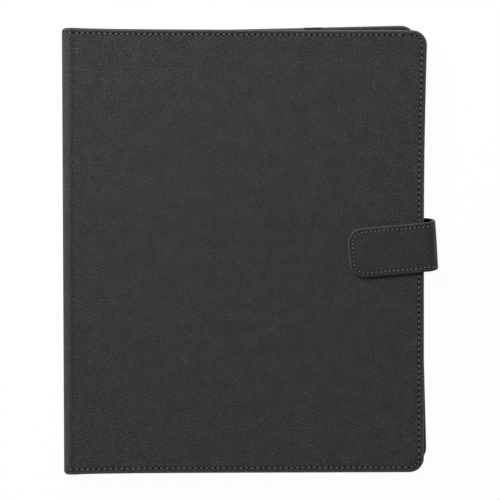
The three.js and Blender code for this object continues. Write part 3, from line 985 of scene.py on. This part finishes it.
# Sheet pockets on the linings: sewn along three sides, with a bound mouth and a thumb notch
pocket = {
    "margin": 5 * mm,
    "spineMargin": 16 * mm,
    "foreEdge": 236 * mm,
    "backHeight": 172 * mm,
    "frontHeight": 205 * mm,
    "slant": 38 * mm,  # how much higher the front pocket's mouth is at the spine
    "notch": 14 * mm,
    "notchReach": 16.8 * mm,  # to each side of its middle
    "notchRound": 0.7,
    "low": 4.9 * mm,
    "thickness": 0.75 * mm,
    "binding": 6 * mm,
    "bindingRise": 0.3 * mm,
    "stitchInset": 2.4 * mm,
    "furrow": 0.16 * mm,
    "furrowWidth": 0.7 * mm,
    "slack": 0.5 * mm,  # how far the mouth stands off
    "slackReach": 30 * mm,
    "puff": 0.12 * mm,
    "puffLengths": (31 * mm, 44 * mm),
    "puffOver": 12 * mm,
    "bindingSoft": 0.5 * mm,
    "pressed": 0.05 * mm,  # into the lining
    "seamEnd": 3 * mm,  # short of the mouth
    "edgeSteps": np.array([0, 0.12, 0.3, 0.55, 0.9, 1.6, 2.4, 3.2, 4.2]) * mm,
    "bindingSteps": np.array([5.6, 5.9, 6.2]) * mm,
    "columns": 34,
    "notchColumns": 47,
    "rows": 46,
}


def pocketEdges(height, slant):
    # The closed end's and the mouth's height over the closed end's line, as functions of along
    right = pocket["foreEdge"]
    left = pocket["spineMargin"]
    radius = cover["cornerRadius"]
    middle = (left + right) / 2

    def closedEnd(along):
        past = np.clip(along - (right - radius), 0, radius)
        return radius - np.sqrt(radius**2 - past**2)

    def mouth(along):
        share = np.clip(np.abs(along - middle) / pocket["notchReach"], 0, 1)
        bite = pocket["notch"] * (0.5 + 0.5 * np.cos(math.pi * share)) ** pocket["notchRound"]
        return height + slant * (right - along) / (right - left) - bite

    return closedEnd, mouth


def pocketColumns():  # closest at both edges and round the notch
    left, right = pocket["spineMargin"], pocket["foreEdge"]
    middle = (left + right) / 2
    reach = pocket["notchReach"]
    return np.concatenate([
        left + pocket["edgeSteps"],
        np.linspace(left + 6 * mm, middle - reach - 1 * mm, pocket["columns"]),
        np.linspace(middle - reach, middle + reach, pocket["notchColumns"]),
        np.linspace(middle + reach + 1 * mm, right - 14 * mm, pocket["columns"]),
        np.linspace(right - 13 * mm, right - 5 * mm, 10),
        right - pocket["edgeSteps"][::-1],
    ])


def pocketRows(span):  # shares of the way to the mouth, closest at both ends and at the binding
    nearEdge = pocket["edgeSteps"] / span
    binding = pocket["bindingSteps"] / span
    first = 5.2 * mm / span
    body = first + (1 - first - 7 * mm / span) * np.linspace(0, 1, pocket["rows"])[1:-1]
    return np.concatenate([nearEdge, body, 1 - binding[:, ::-1], 1 - nearEdge[:, ::-1]], axis=1)


def makePocket(name, side, height, slant):
    # A cushion-edged sheet: along runs from the spine side to the fore-edge, rise from the
    # closed end to the mouth, and the face drops to the lining as a quarter round within its
    # thickness.
    closedEnd, mouth = pocketEdges(height, slant)
    left, right = pocket["spineMargin"], pocket["foreEdge"]
    mouthUp = 1 if side == "back" else -1
    place = skinPlace(side)

    def upAt(rise):
        return mouthUp * (pocket["margin"] - cover["height"] / 2 + rise)

    columns = pocketColumns()
    span = (mouth(columns) - closedEnd(columns))[:, None]
    shares = pocketRows(span)
    along = columns[:, None] + 0 * shares
    toEnd = shares * span
    toMouth = span - toEnd
    toSides = np.minimum(along - left, right - along)
    toEdge = np.minimum(np.minimum(toMouth, toEnd), toSides)
    rise = closedEnd(columns)[:, None] + toEnd
    held = np.clip(toEdge / pocket["thickness"], 0, 1)
    soft = pocket["bindingSoft"]
    lip = pocket["bindingRise"] * (1 - smooth((toMouth - pocket["binding"] + soft / 2) / soft))
    slack = pocket["slack"] * bell(toMouth, 0, pocket["slackReach"])
    slack = slack * smooth(toSides / pocket["slackReach"])
    puffAlong, puffUp = pocket["puffLengths"]
    waves = np.sin(along / puffAlong) * np.sin(rise / puffUp)
    puff = pocket["puff"] * waves * smooth(toEdge / pocket["puffOver"])
    seams = sum(bell(gap, pocket["stitchInset"], pocket["furrowWidth"]) for gap in (toSides, toEnd))
    face = (pocket["thickness"] + lip - pocket["furrow"] * seams) * np.sqrt(1 - (1 - held) ** 2)
    top = place(along, upAt(rise), pocket["low"] + face + slack + puff)
    under = place(along, upAt(rise), pocket["low"] - pocket["pressed"] + slack * held)
    count = along.size
    numbers = np.arange(count).reshape(along.shape)
    faces = np.concatenate([gridFaces(numbers), gridFaces(numbers + count)]).tolist()
    border = np.concatenate([numbers[:, 0], numbers[-1, 1:], numbers[-2::-1, -1], numbers[0, -2:0:-1]])
    following = np.roll(border, -1)
    faces += np.stack([border, following, following + count, border + count], -1).tolist()
    points = np.concatenate([top.reshape(-1, 3), under.reshape(-1, 3)])
    piece = weld(makeObject(name, points, faces), 1e-7)
    finish(piece, liningCloth)
    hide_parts(f"{side}_pocket")
    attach(piece, f"{side}_cover")

    # Its seam: down the spine side, along the closed end with a round corner, and up again
    inset = pocket["stitchInset"]
    turn = np.linspace(0, math.pi / 2, 9)
    radius = cover["cornerRadius"] - inset
    bend = np.stack([
        right - inset - radius + radius * np.sin(turn),
        inset + radius - radius * np.cos(turn),
    ], -1)
    line = np.concatenate([
        [[left + inset, mouth(left + inset) - pocket["seamEnd"]], [left + inset, inset]],
        bend,
        [[right - inset, mouth(right - inset) - pocket["seamEnd"]]],
    ])
    holes = evenPoints(line, stitching["pitch"])
    holes[:, 1] = upAt(holes[:, 1])
    depth = pocket["low"] + pocket["thickness"] - pocket["furrow"]
    thread = threads(f"{name}_stitches", place, holes, depth, -1, coverGauge)
    finish(thread, threadMaterial)
    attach(thread, f"{side}_cover")


makePocket("back_sheet_pocket", "back", pocket["backHeight"], 0)
makePocket("front_sheet_pocket", "front", pocket["frontHeight"], pocket["slant"])
print("pockets made")

# Elastic band over the back cover's inner face, sewn into both edges
band = {
    "place": 175 * mm,
    "width": 12.6 * mm,
    "thickness": 0.9 * mm,
    "overPocket": 6.75 * mm,
    "atEdge": 4.6 * mm,
    "ramp": 11 * mm,
    "endInset": 0.2 * mm,
    "ribs": 12,
    "ribDepth": 0.14 * mm,
    "rampSteps": 13,
    "bodySteps": 60,
    "squareness": 14,
    "edgeThinning": 0.7,
}


def makeBand():
    # A flat ribbon along up. Its section is a flattened loop whose faces carry a row of cords,
    # 1 - |sin|, and its middle line eases down to the hem at both edges of the cover.
    reach = cover["height"] / 2 - band["endInset"]
    ends = reach - band["ramp"] * np.linspace(0, 1, band["rampSteps"])
    body = np.linspace(-ends[-1], ends[-1], band["bodySteps"])[1:-1]
    up = np.concatenate([-ends, body, ends[::-1]])
    drop = smooth((np.abs(up) - reach + band["ramp"]) / band["ramp"])
    middle = band["overPocket"] + (band["atEdge"] - band["overPocket"]) * drop
    shares = np.linspace(-1, 1, band["ribs"] * 4 + 1)
    cords = band["ribDepth"] * np.abs(np.sin(shares * math.pi / 2 * band["ribs"]))
    thinning = 1 - np.abs(shares) ** band["squareness"] * band["edgeThinning"]
    half = band["thickness"] / 2 * thinning - band["ribDepth"] + cords
    across = np.concatenate([shares, shares[::-1]]) * band["width"] / 2
    height = np.concatenate([half, -half[::-1]])
    count = len(across)
    along = band["place"] + across[None, :] + 0 * up[:, None]
    points = coverPoint("back", along, up[:, None] + 0 * along, middle[:, None] + height[None, :])
    numbers = np.arange(len(up) * count).reshape(len(up), count)
    faces = gridFaces(np.concatenate([numbers, numbers[:, :1]], axis=1)).tolist()
    faces += [numbers[0, ::-1].tolist(), numbers[-1].tolist()]
    piece = weld(makeObject("elastic_band", points.reshape(-1, 3), faces), 1e-8)
    finish(piece, elasticMaterial)
    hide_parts("sheet_band")
    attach(piece, "back_cover")


makeBand()
print("band made")

# Closure strap: a ribbon that is sewn into the back cover's fore-edge, turns up round half an
# ellipse and lies on the front cover
strap = {
    "width": 35 * mm,
    "length": 54 * mm,  # from the fore-edge to the free end
    "cornerRadius": 10.6 * mm,
    "innerInset": 12.1 * mm,
    "thickness": 3.0 * mm,
    "bendThickness": 2.3 * mm,
    "tongueThickness": 0.9 * mm,
    "tongue": 12 * mm,
    "tongueHeight": 4.85 * mm,
    "bendStart": 1.6 * mm,  # past the fore-edge
    "bendReach": 7.2 * mm,
    "armGap": 0.3 * mm,  # over the front cover
    "twist": math.radians(3.6),
    "drift": 3.5 * mm,
    "lift": 0.9 * mm,  # over the fore-edge's middle
    "pitch": 3.1 * mm,
    "stitchInset": 3.0 * mm,
    "furrow": 0.30 * mm,
    "furrowWidth": 0.8 * mm,
    "pull": 0.3,  # as on the covers
    "sunk": 0.9,
    "rim": 1.25 * mm,
    "lap": 0.3 * mm,  # how far the turned edge stands over the inner side
    "pillow": 0.12 * mm,
    "pillowFrom": 4 * mm,  # from the edge, where the padding starts, and over what length
    "pillowOver": 6 * mm,
    "foldHeight": 0.05 * mm,  # of the fine folds on the bend
    "foldLengths": (1.3 * mm, 5 * mm),
    "foldSway": 1.2,
    "foldPlace": 0.62,  # of the bend's length
    "foldReach": 6 * mm,
    "seamOver": 4 * mm,
    "faceRings": (9.5, 7.5, 6, 5, 4.3, 3.9, 3.5, 3.25, 3.0, 2.75, 2.5, 2.2, 1.9, 1.6),  # insets, in mm
    "rimRings": 13,
    "lapRings": (1.8 * mm, 2.4 * mm, 2.5 * mm, 4 * mm),  # two on the turned edge, two at its foot
    "turnLow": 0.5 * mm,  # over the tongue, where the strap starts to turn with its arm
    "turnHigh": 1.6 * mm,  # under the arm, where it has turned all the way
    "stitchStart": 22 * mm,
    "backingInset": 2.6 * mm,
    "backing": 0.55 * mm,
    "backingDrop": 0.02 * mm,  # how far its face lies within the turned edge
    "pastBend": 1 * mm,  # where the strap's inner pieces start
    "innerColumns": 24,
    "rootPoints": 10,  # across the core's square end
    "coreInset": 1.4 * mm,
    "coreTop": 1.1 * mm,  # depth of the stiff core's faces under the strap's outer face
    "coreBottom": 2.1 * mm,
    "magnetFromEnd": 15 * mm,
    "magnetHole": 7.8 * mm,  # radius of the core's hole for the magnet
}
armHeight = closedThickness + strap["armGap"] + strap["thickness"] / 2
bendMiddle = (strap["tongueHeight"] + armHeight) / 2
bendHeight = (armHeight - strap["tongueHeight"]) / 2
bendLength = math.pi * math.sqrt((bendHeight**2 + strap["bendReach"] ** 2) / 2)
flatBefore = strap["tongue"] + strap["bendStart"]
strapLength = flatBefore + bendLength + strap["length"] + strap["bendStart"]


def strapPoint(along, up, depth):
    # along runs from the sewn end, up across the ribbon, and depth from its outer face. The
    # middle line is straight, half an ellipse and straight, and its section turns with it.
    share = np.clip((along - flatBefore) / bendLength, 0, 1)
    angle = math.pi * (share - 0.5)
    before = np.minimum(along - flatBefore, 0)
    after = np.maximum(along - flatBefore - bendLength, 0)
    outX = np.cos(angle) / strap["bendReach"]
    outZ = np.sin(angle) / bendHeight
    size = np.hypot(outX, outZ)
    thin = strap["tongueThickness"]
    thin = thin + (strap["bendThickness"] - thin) * smooth(share * 4)  # in the bend's first quarter
    thick = thin + (strap["thickness"] - thin) * smooth(share * 4 - 3)  # in its last quarter
    offset = thick / 2 - depth * thick / strap["thickness"]
    x = strap["bendReach"] * np.cos(angle) + before - after + outX / size * offset
    z = bendMiddle + bendHeight * np.sin(angle) + outZ / size * offset
    twist = strap["twist"] * smooth(share)
    turnedX = x * np.cos(twist) - up * np.sin(twist) + cover["width"] + strap["bendStart"]
    turnedY = x * np.sin(twist) + up * np.cos(twist) - strap["drift"] * smooth(share) + strap["lift"]
    skewCos, skewSin = math.cos(cover["skew"]), math.sin(cover["skew"])
    rowX = backOrigin[0] + skewCos * turnedX - skewSin * turnedY
    rowY = backOrigin[1] + skewSin * turnedX + skewCos * turnedY
    return np.stack([rowX, rowY, z + 0 * rowX], axis=-1)


def strapSize():
    keep = strap["innerInset"]
    far = strapLength - keep
    reach = strap["width"] / 2 - keep
    half = strap["pitch"] / 2
    return {
        "width": strapLength,
        "height": strap["width"],
        "cornerRadius": strap["cornerRadius"],
        "innerInset": keep,
        "columns": np.linspace(0, far, 2 * round(far / strap["pitch"]) + 1),
        "rows": np.linspace(-reach, reach, round(2 * reach / half) + 1),
        "cornerStraight": 1,
        "cornerArc": 8,
        "pitch": strap["pitch"],
        "stitchStart": strap["stitchStart"],
    }


def strapRings():
    rim = strap["rim"]
    deep = strap["thickness"]
    lapBack = deep - strap["lap"]
    keep = strap["innerInset"]
    lapStart, lapEnd, foot, flat = strap["lapRings"]
    rings = [(keep, 0.0)] + [(inset * mm, 0.0) for inset in strap["faceRings"]]
    for turn in np.linspace(0, math.pi, strap["rimRings"]):
        rings.append((rim * (1 - math.sin(turn)), deep / 2 * (1 - math.cos(turn))))
    rings += [(lapStart, deep), (lapEnd, deep), (foot, lapBack), (flat, lapBack), (keep, lapBack)]
    return rings


def strapRelief(along, up, inset, phase):
    # A furrow under the stitches, a padded face between them, and wavy folds on the bend
    pull = 1 - strap["pull"] * (1 - np.cos(math.tau * phase))
    furrow = strap["furrow"] * bell(inset, strap["stitchInset"], strap["furrowWidth"]) * pull
    onArm = smooth((along - strap["stitchStart"]) / strap["seamOver"])
    pillow = -strap["pillow"] * smooth((inset - strap["pillowFrom"]) / strap["pillowOver"])
    foldAlong, foldUp = strap["foldLengths"]
    sway = strap["foldSway"] * np.sin(up / foldUp)
    folds = strap["foldHeight"] * np.sin(along / foldAlong + sway)
    onBend = bell(along, flatBefore + bendLength * strap["foldPlace"], strap["foldReach"])
    return onArm * (furrow + pillow) + onBend * folds


strapLeather = makeLeather("strapLeather", strap["pitch"], strap["stitchInset"], {
    **leather,
    "deep": (0.0315, 0.0315, 0.0319),
    "raised": (0.0370, 0.0370, 0.0374),
    # Rim: its wear with a painted highlight; fold: a painted highlight on the strap's bend
    "edge": (0.13, 0.13, 0.13),
    "foldHighlight": 0.9,
    "edgeWidth": 1.0 * mm,
    "fold": (flatBefore + bendLength * 0.40, flatBefore + bendLength * 0.72, 2.6 * mm),
}, holeSize=0.62 * mm)
size = strapSize()
ribbon = ringedSheet("closure_strap", strapPoint, size, strapRings(), strapRelief)
finish(ribbon, strapLeather)
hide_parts("strap_loop", "strap_face")
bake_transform(ribbon)

strapGauge = {"radius": 0.25 * mm, "share": 0.72, "longest": 5 * mm}
innerFace = strap["thickness"] - strap["backingDrop"]
holes = rimPath(size, strap["stitchInset"])[::2]
holes = holes[holes[:, 0] > strap["stitchStart"]]
for name, depth, facing in (
    ("strap_stitches", strap["furrow"] * strap["sunk"], 1),
    ("strap_inner_stitches", innerFace, -1),
):
    thread = threads(name, strapPoint, holes, depth, facing, strapGauge)
    finish(thread, threadMaterial)
    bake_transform(thread)


def innerSize(inset):  # the strap's outline at an inset, from just past the bend to its tip
    size = strapSize()
    size["width"] -= inset
    size["height"] -= 2 * inset
    size["cornerRadius"] -= inset
    size["innerInset"] -= inset
    root = flatBefore + bendLength + strap["pastBend"]
    far = strapLength - strap["innerInset"]
    size["columns"] = np.linspace(root, far, strap["innerColumns"])
    return size


def makeCore():
    # A flat card: its outline is joined by straight rungs to the round hole for the magnet,
    # which lies in the middle of the CAD model's strap, and its section is a rectangle.
    rim = rimPath(innerSize(strap["coreInset"]), 0)
    root = np.linspace(rim[-1], rim[0], strap["rootPoints"])[1:-1]
    outline = np.concatenate([rim, root])
    centre = np.array([strapLength - strap["magnetFromEnd"], -strap["lift"]])
    turn = np.arctan2(outline[:, 1] - centre[1], outline[:, 0] - centre[0])
    hole = centre + strap["magnetHole"] * np.stack([np.cos(turn), np.sin(turn)], -1)
    top, bottom = strap["coreTop"], strap["coreBottom"]
    loops = [(outline, top), (hole, top), (hole, bottom), (outline, bottom)]
    points = np.stack([strapPoint(loop[:, 0], loop[:, 1], depth) for loop, depth in loops])
    numbers = np.arange(len(loops) * len(outline)).reshape(len(loops), len(outline))
    numbers = np.concatenate([numbers, numbers[:1]])
    faces = gridFaces(np.concatenate([numbers, numbers[:, :1]], axis=1)).tolist()
    core = weld(makeObject("strap_stiffener", points.reshape(-1, 3), faces))
    core.data.shade_flat()
    finish(core, boardMaterial)
    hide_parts("strap_core")
    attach(core, "strap")


makeCore()
size = innerSize(strap["backingInset"])
rings = roundedRings(size, strap["thickness"] - strap["backing"], innerFace)
backing = ringedSheet("strap_lining", strapPoint, size, rings)
finish(backing, strapLeather)
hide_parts("strap_backing")
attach(backing, "strap")
print("strap made")

# Carried-over CAD nodes that stay: hidden boards and magnets
for material, names in (
    (boardMaterial, ("back_board", "front_board", "spine_board")),
    (magnetMaterial, ("cover_magnet", "strap_magnet")),
):
    for name in names:
        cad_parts[name].data.materials.clear()
        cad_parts[name].data.materials.append(material)

# Floor, light and camera
studio = {
    "floorSize": 6.0,
    "floorDrop": 0.1 * mm,  # under the folder, so that the two faces don't flicker
    "floorShade": 0.86,
    "floorRoughness": 0.9,
    "floorSpecular": 0.2,
    "whiteShare": 0.97,  # of the floor's brightness that the camera sees as plain white
    "skyStrength": 0.28,
    "keyPower": 17.7,
    "keyPlace": (-0.50, 0.66, 0.82),
    "keySize": 0.6,
    "fillPower": 0.6,
    "fillPlace": (1.3, -0.9, 1.2),
    "fillSize": 1.4,
    "cameraHeight": 1.33,  # over the front cover
    "pixelSize": 0.7095 * mm,
    "pixels": 500,
    "sensor": 36,
    "aim": (-0.45 * mm, -1.15 * mm),
    "yaw": math.radians(1.6),  # seen from slightly left of the middle
}


def plainlySeen(tree):  # 1 for what the camera sees directly, in a reflection or through a gap
    rays = tree.nodes.new("ShaderNodeLightPath")
    seen = sums(tree, "MAXIMUM", rays.outputs["Is Camera Ray"], rays.outputs["Is Glossy Ray"])
    return sums(tree, "MAXIMUM", seen, rays.outputs["Is Transmission Ray"])


def makeFloor():
    reach = studio["floorSize"] / 2
    corners = np.array([[-1, -1, 0], [1, -1, 0], [1, 1, 0], [-1, 1, 0]]) * reach
    floor = makeObject("floor", corners - [0, 0, studio["floorDrop"]], [[0, 1, 2, 3]])
    material, tree, shader = newMaterial("floor", studio["floorRoughness"], studio["floorSpecular"])
    shader.inputs["Base Color"].default_value = (*[studio["floorShade"]] * 3, 1)
    white = tree.nodes.new("ShaderNodeEmission")
    share = sums(tree, "MULTIPLY", plainlySeen(tree), studio["whiteShare"])
    joined = tree.nodes.new("ShaderNodeMixShader")
    tree.links.new(share, joined.inputs[0])
    tree.links.new(shader.outputs[0], joined.inputs[1])
    tree.links.new(white.outputs[0], joined.inputs[2])
    tree.links.new(joined.outputs[0], tree.nodes["Material Output"].inputs["Surface"])
    floor.data.materials.append(material)


def makeWorld():
    world = bpy.data.worlds.new("studio")
    bpy.context.scene.world = world
    world.use_nodes = True
    tree = world.node_tree
    sky = tree.nodes["Background"]
    sky.inputs["Color"].default_value = (1, 1, 1, 1)
    strength = ranged(tree, plainlySeen(tree), 0, 1, studio["skyStrength"], 1.0, soft=False)
    tree.links.new(strength, sky.inputs["Strength"])


def makeLamp(name, place, size, power):  # a round lamp that shines at the folder's middle
    lamp = bpy.data.lights.new(name, "AREA")
    lamp.shape = "DISK"
    lamp.size = size
    lamp.energy = power
    holder = bpy.data.objects.new(name, lamp)
    bpy.context.scene.collection.objects.link(holder)
    holder.location = place
    holder.rotation_euler = (-Vector(place)).to_track_quat("-Z", "Y").to_euler()


def makeCamera():
    camera = bpy.data.cameras.new("camera")
    holder = bpy.data.objects.new("camera", camera)
    bpy.context.scene.collection.objects.link(holder)
    camera.sensor_width = studio["sensor"]
    frameWidth = studio["pixels"] * studio["pixelSize"]
    camera.lens = studio["sensor"] * studio["cameraHeight"] / frameWidth
    camera.clip_end = 20
    sideways = studio["cameraHeight"] * math.tan(studio["yaw"])
    aimX, aimY = studio["aim"]
    holder.location = (aimX - sideways, aimY, closedThickness + studio["cameraHeight"])
    holder.rotation_euler = (0, -studio["yaw"], 0)
    bpy.context.scene.camera = holder


makeFloor()
makeWorld()
makeLamp("key", studio["keyPlace"], studio["keySize"], studio["keyPower"])
makeLamp("fill", studio["fillPlace"], studio["fillSize"], studio["fillPower"])
makeCamera()
bpy.context.scene.view_settings.view_transform = "Standard"
print("studio made")
